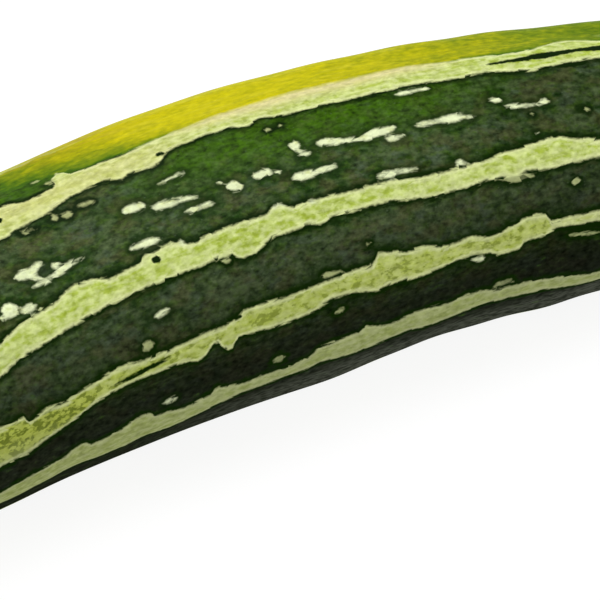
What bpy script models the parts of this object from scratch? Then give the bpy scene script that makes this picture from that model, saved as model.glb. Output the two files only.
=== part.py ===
"""A large striped zucchini lying on its side, in metres, with +Z up.

The fruit is a turned shape with ten shallow ridges. Its sections are then laid
along a bent axis, with the stem end at +X and the hollow of the bend towards
-Y, and its underside is pressed flat where it rests. The stem is a five-sided
stub, cut flat. The origin is in the middle of the footprint, on the surface
that the fruit lies on.
"""

import math

import bpy

# The fruit's length along its axis, its girth and its bend
FRUIT_LENGTH = 0.300
BELLY_RADIUS = 0.035
NECK_RADIUS = 0.0245  # what the taper would come down to at the stem face
TAPER_LENGTH = 0.160  # from the stem face to the full belly
WAIST_PLACE = 0.200  # a slight waist, measured from the stem face
WAIST_WIDTH = 0.022
WAIST_DEPTH = 0.0008
BEND_RADIUS = 0.710
PRESSED_DEPTH = 0.0005  # how much of the round underside is flat on the surface

# The rounded ends
SHOULDER_LENGTH = 0.042
STEM_FACE_RADIUS = 0.011
TIP_LENGTH = 0.075
ROUNDNESS = 2.6  # 2 is an ellipse, and more is blunter
SCAR_RADIUS = 0.009
SCAR_INNER_RADIUS = 0.0081
SCAR_STEP = 0.0006  # how far the scar's inner edge lies below its rim

# The ridges, by their angle in degrees from the hollow side, with 90 on top
RIDGE_ANGLES = (100, 52, 22, -8, -45, -82, -118, -155, 170, 135)
RIDGE_HEIGHT = 0.0010
NECK_RIDGE_HEIGHT = 0.0026
NECK_RIDGE_REACH = 0.040
LOWEST_RIDGE_SHARE = 0.4  # the underside stands this much of a ridge's height off the plain body

# Gentle swellings along the lower flank on the hollow side
SWELL_HEIGHT = 0.0007
SWELL_PLACE = 0.142  # one of them, measured from the stem face
SWELL_SPACING = 0.072
SWELL_MIDDLE = 0.105  # they fade out on both sides of here
SWELL_REACH = 0.050
SWELL_ANGLE = -45
SWELL_SPREAD = 60

# The stem
STEM_LENGTH = 0.028
STEM_BASE_RADIUS = 0.0125
STEM_SHAFT_RADIUS = 0.0085
STEM_CUT_RADIUS = 0.0095
STEM_FLARE_LENGTH = 0.009
STEM_RIDGES = 5
STEM_RIDGE_SHARE = 0.13  # of the stem's radius
STEM_RISE = 0.003
STEM_SWAY = 0.002
CUT_SLANT = 0.12
STEM_GAP = 0.0003

# How finely the shapes are divided
FRUIT_SIDES = 56
SHOULDER_RINGS = 7
MIDDLE_RINGS = 25
TIP_RINGS = 10
STEM_SIDES = 30
STEM_RINGS = 9
MERGE_DISTANCE = 0.00001
SHARP_ANGLE = math.radians(50)


def clear_scene():
    for thing in list(bpy.data.objects):
        bpy.data.objects.remove(thing, do_unlink=True)


def make_material(name, color, roughness):
    material = bpy.data.materials.new(name)
    material.use_nodes = True
    shader = material.node_tree.nodes["Principled BSDF"]
    shader.inputs["Base Color"].default_value = (*color, 1.0)
    shader.inputs["Roughness"].default_value = roughness
    shader.inputs["Metallic"].default_value = 0.0
    return material


def body_radius(along):
    """The fruit's radius before its ends are rounded, at a distance from the stem face."""
    grown = math.sin(math.pi / 2 * min(along / TAPER_LENGTH, 1.0))
    waist = WAIST_DEPTH * math.exp(-(((along - WAIST_PLACE) / WAIST_WIDTH) ** 2))
    return NECK_RADIUS + (BELLY_RADIUS - NECK_RADIUS) * grown - waist


def fruit_profile():
    """(radius, distance from the stem face) from the blossom scar down the outer side.

    Both ends follow a blunt ellipse, and their rings are spaced evenly round it.
    """
    tip_start = FRUIT_LENGTH - TIP_LENGTH
    scar_turn = math.asin(SCAR_RADIUS / BELLY_RADIUS)
    scar_along = tip_start + TIP_LENGTH * math.cos(scar_turn) ** (2 / ROUNDNESS)
    points = [
        (0.0, scar_along - SCAR_STEP / 2),
        (SCAR_INNER_RADIUS / 2, scar_along - SCAR_STEP / 4),
        (SCAR_INNER_RADIUS, scar_along - SCAR_STEP),
    ]
    for ring in range(TIP_RINGS):
        turn = scar_turn + (math.pi / 2 - scar_turn) * ring / TIP_RINGS
        along = tip_start + TIP_LENGTH * math.cos(turn) ** (2 / ROUNDNESS)
        points.append((body_radius(along) * math.sin(turn), along))
    for ring in range(MIDDLE_RINGS):
        along = tip_start - (tip_start - SHOULDER_LENGTH) * ring / MIDDLE_RINGS
        points.append((body_radius(along), along))
    face_turn = math.acos(STEM_FACE_RADIUS / NECK_RADIUS)
    for ring in range(SHOULDER_RINGS + 1):
        turn = face_turn * ring / SHOULDER_RINGS
        reach = (math.sin(turn) / math.sin(face_turn)) ** (2 / ROUNDNESS)
        along = SHOULDER_LENGTH * (1 - reach)
        points.append((body_radius(along) * math.cos(turn), along))
    points.append((0.0, 0.0))
    return points


def ridge_share(turn):
    """1 on a ridge and 0 midway between two, at an angle round the fruit."""
    angles = sorted(math.radians(degrees) % math.tau for degrees in RIDGE_ANGLES)
    turn %= math.tau
    following = next((k for k, angle in enumerate(angles) if angle > turn), 0)
    gap = (angles[following] - angles[following - 1]) % math.tau
    passed = (turn - angles[following - 1]) % math.tau
    return 0.5 + 0.5 * math.cos(math.tau * passed / gap)


def ridge_height(along):
    """Height of the ridges over the grooves, which is greatest at the neck."""
    near_neck = math.exp(-((along / NECK_RIDGE_REACH) ** 2))
    return RIDGE_HEIGHT + (NECK_RIDGE_HEIGHT - RIDGE_HEIGHT) * near_neck


def swelling(along, turn):
    """Height of the swellings along the lower flank."""
    wave = math.cos(math.tau * (along - SWELL_PLACE) / SWELL_SPACING)
    fading = math.exp(-(((along - SWELL_MIDDLE) / SWELL_REACH) ** 4))
    aside = (math.degrees(turn) - SWELL_ANGLE + 180) % 360 - 180
    share = min(abs(aside) / SWELL_SPREAD, 1.0)
    return SWELL_HEIGHT * wave * fading * math.cos(math.pi / 2 * share) ** 2


def axis_at(along):
    """The bent axis seen from above: x, y and the direction that it turns to."""
    turn = (FRUIT_LENGTH / 2 - along) / BEND_RADIUS
    return BEND_RADIUS * math.sin(turn), -BEND_RADIUS * (1 - math.cos(turn)), turn


def lay_fruit(mesh):
    """Moves the turned shape's points, whose z is the distance from the stem face, onto the axis."""
    for vertex in mesh.vertices:
        radius = math.hypot(vertex.co.x, vertex.co.y)
        turn = math.atan2(vertex.co.y, vertex.co.x)
        along = vertex.co.z
        girth = body_radius(along)
        relief = ridge_height(along)
        raised = relief * (ridge_share(turn) - 0.5) + swelling(along, turn)
        radius += raised * min(radius / girth, 1.0) ** 2
        axis_x, axis_y, heading = axis_at(along)
        axis_z = girth + relief * LOWEST_RIDGE_SHARE - PRESSED_DEPTH
        hollow_side = radius * math.cos(turn)
        vertex.co.x = axis_x - hollow_side * math.sin(heading)
        vertex.co.y = axis_y - hollow_side * math.cos(heading)
        vertex.co.z = max(axis_z + radius * math.sin(turn), 0.0)


def stem_radius(height):
    """The stem's radius, from its flared base to its cut end."""
    flare = math.exp(-((height / STEM_FLARE_LENGTH) ** 2))
    end_swell = (height / STEM_LENGTH) ** 4
    return (
        STEM_SHAFT_RADIUS
        + (STEM_BASE_RADIUS - STEM_SHAFT_RADIUS) * flare
        + (STEM_CUT_RADIUS - STEM_SHAFT_RADIUS) * end_swell
    )


def stem_profile():
    """(radius, height above the stem face) from the cut end down the outer side."""
    points = [(0.0, STEM_LENGTH)]
    for ring in range(STEM_RINGS + 1):
        height = STEM_LENGTH * (1 - ring / STEM_RINGS)
        points.append((stem_radius(height), height))
    points.append((0.0, 0.0))
    return points


def lay_stem(mesh):
    """Moves the turned stem's points onto the end of the fruit, from its base outwards."""
    face_x, face_y, heading = axis_at(0.0)
    face_z = NECK_RADIUS + NECK_RIDGE_HEIGHT * LOWEST_RIDGE_SHARE - PRESSED_DEPTH
    for vertex in mesh.vertices:
        height = vertex.co.z
        turn = math.atan2(vertex.co.y, vertex.co.x)
        ridge = 1 + STEM_RIDGE_SHARE * math.cos(STEM_RIDGES * turn)
        grown = (height / STEM_LENGTH) ** 2
        side = vertex.co.x * ridge + STEM_SWAY * grown
        up = vertex.co.y * ridge + STEM_RISE * grown
        out = STEM_GAP + height * (1 + CUT_SLANT * vertex.co.y / STEM_LENGTH)
        vertex.co.x = face_x + out * math.cos(heading) + side * math.sin(heading)
        vertex.co.y = face_y - out * math.sin(heading) + side * math.cos(heading)
        vertex.co.z = face_z + up


def turned(name, profile, sides, collection, material):
    """A closed turned shape from (radius, height) points, as an object with a plain mesh."""
    outline = bpy.data.meshes.new(name + "_profile")
    points = [(radius, 0.0, height) for radius, height in profile]
    links = [(k, k + 1) for k in range(len(points) - 1)]
    outline.from_pydata(points, links, [])
    thing = bpy.data.objects.new(name, outline)
    collection.objects.link(thing)
    screw = thing.modifiers.new("turn", "SCREW")
    screw.axis = "Z"
    screw.steps = sides
    screw.render_steps = sides
    screw.use_merge_vertices = True
    screw.merge_threshold = MERGE_DISTANCE
    bpy.context.view_layer.update()
    seen = thing.evaluated_get(bpy.context.evaluated_depsgraph_get())
    mesh = bpy.data.meshes.new_from_object(seen)
    mesh.name = name
    thing.modifiers.clear()
    thing.data = mesh
    bpy.data.meshes.remove(outline)
    mesh.materials.append(material)
    return thing


def centre_footprint(things):
    """Moves every point so that the footprint's middle is at the origin."""
    points = [vertex for thing in things for vertex in thing.data.vertices]
    middle_x = (min(p.co.x for p in points) + max(p.co.x for p in points)) / 2
    middle_y = (min(p.co.y for p in points) + max(p.co.y for p in points)) / 2
    for point in points:
        point.co.x -= middle_x
        point.co.y -= middle_y


def build():
    clear_scene()
    collection = bpy.data.collections.new("zucchini")
    bpy.context.scene.collection.children.link(collection)

    skin = make_material("striped_skin", (0.045, 0.085, 0.020), 0.45)
    fruit = turned("fruit", fruit_profile(), FRUIT_SIDES, collection, skin)
    lay_fruit(fruit.data)

    rind = make_material("stem_rind", (0.150, 0.210, 0.060), 0.70)
    stem = turned("stem", stem_profile(), STEM_SIDES, collection, rind)
    lay_stem(stem.data)

    centre_footprint([fruit, stem])
    for thing in (fruit, stem):
        thing.data.shade_smooth()
        thing.data.set_sharp_from_angle(angle=SHARP_ANGLE)
        thing.data.update()


build()
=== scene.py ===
# %% [markdown]
# # A striped zucchini
#
# This lesson dresses one large zucchini, which lies on its side on a pale floor. The fruit is a turned
# shape that is bent a little, and nearly all of its character is in the skin: ragged pale stripes on dark
# mottled green, small flecks between them, and a yellow spot where it lay on the ground as it grew.
#
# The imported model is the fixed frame. It gives the places, and the pieces made here stand for its nodes.

# %% Load the frame
import math

import bmesh
import bpy
import numpy as np
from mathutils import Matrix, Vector


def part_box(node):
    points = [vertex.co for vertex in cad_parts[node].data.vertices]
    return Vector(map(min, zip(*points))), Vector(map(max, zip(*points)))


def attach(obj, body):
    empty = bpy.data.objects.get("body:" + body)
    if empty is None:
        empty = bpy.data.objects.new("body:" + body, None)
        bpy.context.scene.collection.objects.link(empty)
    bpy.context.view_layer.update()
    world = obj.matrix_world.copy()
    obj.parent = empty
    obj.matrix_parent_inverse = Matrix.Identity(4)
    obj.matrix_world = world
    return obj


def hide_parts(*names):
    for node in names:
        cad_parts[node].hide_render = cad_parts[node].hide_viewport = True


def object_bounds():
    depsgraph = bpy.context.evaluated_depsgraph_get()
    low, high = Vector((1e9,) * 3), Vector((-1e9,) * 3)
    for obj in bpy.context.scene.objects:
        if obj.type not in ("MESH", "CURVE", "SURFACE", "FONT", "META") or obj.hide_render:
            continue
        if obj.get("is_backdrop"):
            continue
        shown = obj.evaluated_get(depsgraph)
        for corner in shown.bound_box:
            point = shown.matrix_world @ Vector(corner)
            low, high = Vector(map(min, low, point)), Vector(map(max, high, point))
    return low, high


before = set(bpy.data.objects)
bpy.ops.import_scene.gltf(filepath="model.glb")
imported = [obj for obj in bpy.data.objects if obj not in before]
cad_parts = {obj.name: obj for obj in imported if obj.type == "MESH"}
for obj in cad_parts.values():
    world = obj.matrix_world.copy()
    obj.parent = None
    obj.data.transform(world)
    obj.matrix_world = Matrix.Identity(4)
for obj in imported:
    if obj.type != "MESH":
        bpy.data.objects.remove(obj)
frame_low, frame_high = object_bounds()
print("frame size in mm:", [round(side * 1000, 1) for side in frame_high - frame_low])

# %% [markdown]
# ## The size of the fruit
#
# These are the numbers that a grower would measure: length, girth, bend and how blunt the ends are. They
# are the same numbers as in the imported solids, so the finer skin made here lies on the same surface.

# %% The size of the fruit
FRUIT_LENGTH = 0.300
BELLY_RADIUS = 0.035
NECK_RADIUS = 0.0245
TAPER_LENGTH = 0.160
WAIST_PLACE = 0.200
WAIST_WIDTH = 0.022
WAIST_DEPTH = 0.0008
BEND_RADIUS = 0.710
PRESSED_DEPTH = 0.0005
SHOULDER_LENGTH = 0.042
STEM_FACE_RADIUS = 0.011
TIP_LENGTH = 0.075
ROUNDNESS = 2.6
SCAR_RADIUS = 0.009
SCAR_STEP = 0.0006

TIP_START = FRUIT_LENGTH - TIP_LENGTH
SCAR_SHARE = (1 - (SCAR_RADIUS / BELLY_RADIUS) ** 2) ** (1 / ROUNDNESS)
SCAR_ALONG = TIP_START + TIP_LENGTH * SCAR_SHARE
print("the fruit ends", round(SCAR_ALONG * 1000, 1), "mm from the stem")


# %% [markdown]
# ## The bent axis
#
# The fruit is measured along its axis from the stem, and round it by an angle: 0 faces the hollow of the
# bend, 90 is on top. Everything is first worked out on a straight fruit, and the last step lays it on an
# arc. That way stripes and flecks follow the bend by themselves.

# %% The bent axis
def axis_at(along):
    """x, y and heading of the axis at a distance from the stem face."""
    heading = (FRUIT_LENGTH / 2 - along) / BEND_RADIUS
    return BEND_RADIUS * np.sin(heading), BEND_RADIUS * (np.cos(heading) - 1), heading


aside = -float(axis_at(0.0)[1])
print("the bend sets the stem", round(aside * 1000, 1), "mm aside from the middle")

# %% [markdown]
# ## Rises, hills and plateaus
#
# Whatever changes slowly over the fruit, its girth as well as its colours, is put together from three
# gentle curves: a rise from 0 to 1, a hill round one place, and a plateau between two. Written once, they
# keep the later formulas short.

# %% Rises, hills and plateaus
def rising(values, low, high):
    """0 below low, 1 above high and an even S between."""
    share = np.clip((values - low) / (high - low), 0, 1)
    return share * share * (3 - 2 * share)


def hill(values, middle, spread):
    """1 at the middle, with even slopes to both sides."""
    return np.exp(-(((values - middle) / spread) ** 2))


def plateau(values, rise, fall):
    """1 between a rise and a fall, each given by where it starts and ends."""
    return rising(values, *rise) * (1 - rising(values, *fall))


print("one spread from its middle, a hill still has", round(float(hill(1, 0, 1)), 2), "of its height")

# %% [markdown]
# ## The girth
#
# The fruit thickens from a slim neck to its belly, with a slight waist in it, and both of its ends are
# rounded. The rounding is a share that the radius is multiplied by, so the two can be changed apart.

# %% The girth
def body_radius(along):
    """The fruit's radius before its ends are rounded."""
    grown = np.sin(math.pi / 2 * np.minimum(along / TAPER_LENGTH, 1))
    waist = WAIST_DEPTH * hill(along, WAIST_PLACE, WAIST_WIDTH)
    return NECK_RADIUS + (BELLY_RADIUS - NECK_RADIUS) * grown - waist


def end_share(along):
    """How much of the body's radius is left where the two ends round off."""
    into_tip = np.clip((along - TIP_START) / TIP_LENGTH, 0, 1)
    into_shoulder = np.clip((SHOULDER_LENGTH - along) / SHOULDER_LENGTH, 0, 1)
    face_share = 1 - (STEM_FACE_RADIUS / NECK_RADIUS) ** 2
    return np.sqrt(1 - into_tip**ROUNDNESS) * np.sqrt(1 - face_share * into_shoulder**ROUNDNESS)


thickest = float(body_radius(np.linspace(0, FRUIT_LENGTH, 301)).max())
print("the thickest part is", round(2 * thickest * 1000, 1), "mm across")

# %% [markdown]
# ## The outline
#
# A fruit is turned from half of its outline. The outline is a formula, so it can be cut as finely as the
# skin needs. Rings at even steps of *length along the outline* give faces of one size everywhere, which
# carry the marks better than rings at even steps of the axis, which stretch at the blunt ends.

# %% The outline
RING_STEP = 0.00109
SCAR_RINGS = 20
SCAR_CROWDING = 1.5  # more than 1 crowds the scar's rings at its rim
FACE_RINGS = 3
FINE_STEPS = 20001
GROOVE_WIDTH = 0.0009
DOME_WIDTH = 0.0035
DOME_SHARE = 0.7


def scar_drop(radius):
    """How far the scar lies below its rim: a groove just inside it and a low dome in the middle."""
    inward = SCAR_RADIUS - radius
    groove = SCAR_STEP * rising(inward, 0, GROOVE_WIDTH)
    return groove * (1 - DOME_SHARE * rising(inward, GROOVE_WIDTH, DOME_WIDTH))


def fruit_outline():
    """(radius, distance from the stem face), from the stem face's middle to the scar's middle."""
    along = np.linspace(0, SCAR_ALONG, FINE_STEPS)
    radius = body_radius(along) * end_share(along)
    walked = np.concatenate([[0], np.cumsum(np.hypot(np.diff(along), np.diff(radius)))])
    rings = int(walked[-1] / RING_STEP)
    stops = np.linspace(0, walked[-1], rings + 1)
    side = list(zip(np.interp(stops, walked, radius), np.interp(stops, walked, along)))
    face = [(side[0][0] * k / FACE_RINGS, 0.0) for k in range(FACE_RINGS)]
    inward = [(k / SCAR_RINGS) ** SCAR_CROWDING for k in range(1, SCAR_RINGS + 1)]
    scar_radii = [SCAR_RADIUS * (1 - share) for share in inward]
    return face + side + [(radius, SCAR_ALONG - scar_drop(radius)) for radius in scar_radii]


outline = fruit_outline()
print("the outline has", len(outline), "points")

# %% [markdown]
# ## Spinning the outline
#
# A spin with `use_merge` closes the seam where the last copy meets the first. The points on the axis are
# copied too, so the doubles there are merged, and then the normals are worked out again, because a spin
# can leave them pointing inwards.

# %% Spinning the outline
FRUIT_SIDES = 324
MERGE_DISTANCE = 1e-7


def turned(name, points, sides):
    """A closed turned shape from (radius, height) points, as an object on the z axis."""
    shape = bmesh.new()
    corners = [shape.verts.new((radius, 0, height)) for radius, height in points]
    links = [shape.edges.new(pair) for pair in zip(corners, corners[1:])]
    bmesh.ops.spin(
        shape, geom=corners + links, cent=(0, 0, 0), axis=(0, 0, 1),
        dvec=(0, 0, 0), angle=math.tau, steps=sides, use_merge=True,
    )
    bmesh.ops.remove_doubles(shape, verts=shape.verts[:], dist=MERGE_DISTANCE)
    bmesh.ops.recalc_face_normals(shape, faces=shape.faces[:])
    mesh = bpy.data.meshes.new(name)
    shape.to_mesh(mesh)
    shape.free()
    mesh.shade_smooth()
    piece = bpy.data.objects.new(name, mesh)
    bpy.context.scene.collection.objects.link(piece)
    return piece


def points_of(mesh):
    """The mesh's points as an array of rows."""
    flat = np.zeros(len(mesh.vertices) * 3, np.float32)
    mesh.vertices.foreach_get("co", flat)
    return flat.reshape(-1, 3).astype(float)


def move_points(mesh, places):
    """Puts the mesh's points at those places."""
    mesh.vertices.foreach_set("co", places.astype(np.float32).ravel())
    mesh.update()


def count_triangles(mesh):
    """How many triangles the mesh's faces come to."""
    return sum(len(face.vertices) - 2 for face in mesh.polygons)


fruit = turned("striped_fruit", outline, FRUIT_SIDES)
straight = points_of(fruit.data)
along = straight[:, 2]
plain_radius = np.hypot(straight[:, 0], straight[:, 1])
turn = np.arctan2(straight[:, 1], straight[:, 0])
degrees = np.degrees(turn)
print("the fruit has", count_triangles(fruit.data), "triangles")

# %% [markdown]
# ## Ridges
#
# A zucchini isn't round: a shallow ridge runs under each pale stripe, and they are strongest at the neck.
# The ridges aren't evenly spaced, so each gap between two of them gets one whole cosine wave of its own.

# %% Ridges
RIDGE_ANGLES = (100, 52, 22, -8, -45, -82, -118, -155, 170, 135)
RIDGE_HEIGHT = 0.0010
NECK_RIDGE_HEIGHT = 0.0026
NECK_RIDGE_REACH = 0.040
LOWEST_RIDGE_SHARE = 0.4


def degrees_from(angle, middle):
    """The shorter way round from one angle to others, in degrees."""
    return (angle - middle + 180) % 360 - 180


def ridge_share(angle):
    """1 on a ridge and 0 midway between two, at angles in degrees."""
    ridges = np.sort(np.array(RIDGE_ANGLES) % 360)
    angle = angle % 360
    following = np.searchsorted(ridges, angle, side="right") % len(ridges)
    gap = (ridges[following] - ridges[following - 1]) % 360
    passed = (angle - ridges[following - 1]) % 360
    return 0.5 + 0.5 * np.cos(math.tau * passed / gap)


def ridge_height(along):
    """Height of the ridges over the grooves, which is greatest at the neck."""
    return RIDGE_HEIGHT + (NECK_RIDGE_HEIGHT - RIDGE_HEIGHT) * hill(along, 0, NECK_RIDGE_REACH)


relief = ridge_height(along)
print("the ridges stand up to", round(float(relief.max()) * 1000, 2), "mm")

# %% [markdown]
# ## Swellings and lumps
#
# Over the ridges lie a few slow swellings and, everywhere, lumps too low to see except where the light
# skims over them. A sum of cosine waves in random directions makes even lumps without a grain.

# %% Swellings and lumps
SWELL_HEIGHT = 0.0007
SWELL_PLACE = 0.142
SWELL_SPACING = 0.072
SWELL_MIDDLE = 0.105
SWELL_REACH = 0.050
SWELL_ANGLE = -45
SWELL_SPREAD = 60
LUMP_HEIGHT = 0.00009
LUMP_WAVELENGTH = 0.017
LUMP_WAVES = 40
LUMP_SEED = 11


def swelling(along, angle):
    """Height of the swellings along the lower flank on the hollow side."""
    wave = np.cos(math.tau * (along - SWELL_PLACE) / SWELL_SPACING)
    fading = np.exp(-(((along - SWELL_MIDDLE) / SWELL_REACH) ** 4))
    aside = np.minimum(np.abs(degrees_from(angle, SWELL_ANGLE)) / SWELL_SPREAD, 1)
    return SWELL_HEIGHT * wave * fading * np.cos(math.pi / 2 * aside) ** 2


def even_lumps(places, wavelength, waves, random):
    """Slow waves in random directions, added up to a spread of about 1."""
    total = np.zeros(len(places))
    for _ in range(waves):
        direction = random.normal(size=3)
        direction /= np.linalg.norm(direction)
        total += np.cos(places @ direction * math.tau / wavelength + random.uniform(0, math.tau))
    return total * math.sqrt(2 / waves)


raised = relief * (ridge_share(degrees) - 0.5) + swelling(along, degrees)
fullness = np.minimum(plain_radius / body_radius(along), 1) ** 2
random = np.random.default_rng(LUMP_SEED)
lumps = LUMP_HEIGHT * even_lumps(straight, LUMP_WAVELENGTH, LUMP_WAVES, random)
radius = plain_radius + (raised + lumps) * fullness
print("the lumps stand up to", round(float(lumps.max()) * 1000, 2), "mm")

# %% [markdown]
# ## Laying the fruit on its axis
#
# The straight fruit now goes onto the arc. Its underside is pressed flat by half a millimetre, as a heavy
# fruit settles on a table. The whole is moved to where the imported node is, by matching their boxes.

# %% Laying the fruit on its axis
axis_x, axis_y, heading = axis_at(along)
axis_z = body_radius(along) + relief * LOWEST_RIDGE_SHARE - PRESSED_DEPTH
hollow_side = radius * np.cos(turn)
laid = np.column_stack([
    axis_x - hollow_side * np.sin(heading),
    axis_y - hollow_side * np.cos(heading),
    np.maximum(axis_z + radius * np.sin(turn), 0),
])
node_low, node_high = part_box("fruit")
shift = (np.array(node_low) + np.array(node_high)) / 2 - (laid.min(0) + laid.max(0)) / 2
shift[2] = 0
laid += shift
move_points(fruit.data, laid)
print("footprint shift in mm:", [round(float(part) * 1000, 2) for part in shift])

# %% [markdown]
# ## The camera
#
# The photograph looks down on the middle of the fruit from its hollow side, from about fifty degrees up,
# through a long lens. A fit to the fruit's two outlines in the photograph gave the place and the lens.

# %% The camera
CAMERA_AZIMUTH = math.radians(-24.87)
CAMERA_ELEVATION = math.radians(50)
CAMERA_DISTANCE = 0.900
CAMERA_TARGET = Vector((0.00662, -0.02086, 0.035))
LENS = 240.1
CLIP_START = 0.01

backwards = Vector((
    math.sin(CAMERA_AZIMUTH) * math.cos(CAMERA_ELEVATION),
    -math.cos(CAMERA_AZIMUTH) * math.cos(CAMERA_ELEVATION),
    math.sin(CAMERA_ELEVATION),
))
camera = bpy.data.objects.new("camera", bpy.data.cameras.new("camera"))
camera.data.lens = LENS
camera.data.clip_start = CLIP_START
camera.location = CAMERA_TARGET + Vector(shift) + backwards * CAMERA_DISTANCE
camera.rotation_euler = backwards.to_track_quat("Z", "Y").to_euler()
bpy.context.scene.collection.objects.link(camera)
bpy.context.scene.camera = camera
print("camera at", [round(part, 3) for part in camera.location])

# %% [markdown]
# ## A coordinate for patterns, and a map for textures
#
# Two things are stored on the skin. `unbent` is where each point was before the fruit was bent, so that
# noise can be stretched along the fruit. `OFBake` is an unwrapped map, a plain rectangle of length by
# angle with its seam underneath, for baking the finished colours onto an image. The material doesn't
# read the map.

# %% A coordinate for patterns, and a map for textures
MAP_MARGIN = 0.01
MAP_SEAM = -90


def store(mesh, name, values):
    """Keeps one number for each point of a mesh."""
    mesh.attributes.new(name, "FLOAT", "POINT").data.foreach_set("value", values.astype(np.float32))


def store_places(mesh, places):
    """Keeps the places that the material's patterns are laid out in."""
    layer = mesh.attributes.new("unbent", "FLOAT_VECTOR", "POINT")
    layer.data.foreach_set("vector", places.astype(np.float32).ravel())


def unwrap(mesh, distances, angles):
    """A map of distance by angle. Each face keeps to its own side of the seam."""
    corners = np.zeros(len(mesh.loops), np.int64)
    mesh.loops.foreach_get("vertex_index", corners)
    counts = np.zeros(len(mesh.polygons), np.int64)
    mesh.polygons.foreach_get("loop_total", counts)
    face_of = np.repeat(np.arange(len(counts)), counts)
    round_angle = np.radians(angles[corners] - MAP_SEAM)
    middle_x = np.bincount(face_of, np.cos(round_angle)) / counts
    middle_y = np.bincount(face_of, np.sin(round_angle)) / counts
    middle = np.arctan2(middle_y, middle_x) % math.tau
    past = (round_angle - middle[face_of] + math.pi) % math.tau - math.pi
    across = (middle[face_of] + past) / math.tau
    reach = distances[corners] / distances.max()
    room = 1 - 2 * MAP_MARGIN
    layer = mesh.uv_layers.new(name="OFBake")
    layer.data.foreach_set("uv", (MAP_MARGIN + room * np.column_stack([reach, across])).ravel())


store_places(fruit.data, np.column_stack([along, radius * np.cos(turn), radius * np.sin(turn)]))
scar_depth = np.where(along > TIP_START, SCAR_RADIUS - plain_radius, -BELLY_RADIUS)
walked = along - plain_radius * (along == 0) + np.maximum(scar_depth, 0)  # down the outline, face to scar
unwrap(fruit.data, walked - walked.min(), degrees)
print("stored:", [layer.name for layer in fruit.data.attributes if not layer.name.startswith(".")])

# %% [markdown]
# ## The four stripes that show
#
# Each stripe is a pair of edges, and each edge is a list of corners: millimetres from the stem, and
# degrees round the fruit. The corners were measured in the photograph, where an edge turns, and carried
# through the camera onto the skin. Past the photograph's borders, at less than about 60 mm and more than
# about 225 mm, they are made up.

# %% The four stripes that show
TOP_STRIPE = (
    ((0, 106), (50, 106), (58, 105.4), (60.4, 107.6), (63, 109), (66.6, 109.4), (70.8, 106.4), (74.8, 103.8),
     (81, 103), (92, 104.5), (104, 106.5), (121, 107.5), (140, 107), (160, 105), (166.2, 103.8),
     (173.6, 102.8), (179.2, 103.8), (182.6, 103.8), (185.2, 105), (186, 109.2), (187.6, 111.2),
     (188.4, 109), (188.9, 104.4), (190, 100.8), (197.8, 100.2), (200.6, 102.4), (240, 104), (300, 104)),
    ((0, 92), (50, 93.6), (60, 93.4), (72, 92.6), (77, 91), (85, 93.6), (97, 93.8), (109, 94.2),
     (123, 94.8), (134, 95.4), (138, 96), (141, 98), (145.5, 95.4), (149, 97.2), (156, 97.4), (161, 97),
     (164, 96.2), (167, 92.4), (170, 92), (173.4, 93), (176.6, 92), (180, 94), (189, 93.6), (193.6, 92),
     (196.6, 91), (202.8, 90), (205.4, 88.4), (240, 90), (300, 92)),
)
UPPER_STRIPE = (
    ((0, 58), (50, 54), (69, 55), (73.5, 56.8), (77, 59), (81, 58.6), (85, 57.6), (92, 57.4), (97, 55.4),
     (112, 55), (120, 56.6), (126, 57.2), (141, 58.2), (144, 57.8), (145.5, 59.6), (148.5, 61.4),
     (149.5, 58.8), (163, 58.8), (168, 57.8), (171, 58.6), (172.5, 61), (175, 60.4), (180, 60), (182, 58),
     (185, 57.6), (190, 57.4), (193, 59.8), (197, 59.8), (200, 58.8), (203, 57.2), (208.5, 55.6),
     (213, 54), (218, 51), (240, 50), (300, 52)),
    ((0, 46), (50, 46), (69, 47.4), (84, 47.6), (87, 48.2), (90.4, 46.6), (93, 48.2), (110, 47.6),
     (117, 48.4), (122, 50), (136, 50.4), (139, 49.2), (142, 50.6), (150.5, 50.6), (153, 48.8), (156, 47),
     (159.6, 46.6), (161, 50), (169, 49.4), (173, 50), (180, 49.6), (192, 49), (195, 48.4), (200, 47.2),
     (203, 46.8), (207, 45), (214, 44), (221, 39.5), (240, 38), (300, 42)),
)
MIDDLE_STRIPE = (
    ((0, 28), (50, 26), (71, 25.2), (83.6, 25.6), (84.4, 28.8), (87, 30), (90.6, 30), (91.4, 28.6),
     (95, 28), (96.5, 26.4), (101, 26.2), (104, 28), (108, 27), (112, 27.6), (115.5, 29.4), (121, 29.6),
     (122, 30.4), (127.5, 32.6), (128.6, 29.4), (130, 28.2), (136, 28.6), (151, 27.6), (158, 28.4),
     (162, 28.8), (165, 25.8), (172, 25.4), (178, 24.8), (189, 24.2), (193, 25.6), (196, 25.4),
     (200.5, 24), (204.5, 23), (208.5, 21.2), (212, 22.2), (216.4, 20.4), (218, 19.4), (219, 22.6),
     (245, 22), (300, 24)),
    ((0, 16), (50, 18), (71, 21), (83, 22.6), (86, 20), (91, 20.4), (91.8, 17.6), (97.5, 17.2),
     (100, 19.6), (104, 21.2), (108, 20.6), (111, 19.4), (117, 18.4), (125, 19.2), (129, 18.2),
     (133, 20), (137, 21.3), (141, 21.2), (145, 18.8), (152, 17.8), (156, 18.2), (163.6, 19.2),
     (165.4, 18.6), (166.2, 15.4), (168.2, 15), (169.4, 19.8), (171.4, 20.4), (172.6, 17), (175, 14.8),
     (178.5, 17.4), (183, 18), (193, 17.6), (197.5, 16.4), (201.5, 15.6), (207, 11.5), (213, 8.5),
     (220, 5), (227, 4.5), (250, 6), (300, 14)),
)
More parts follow.
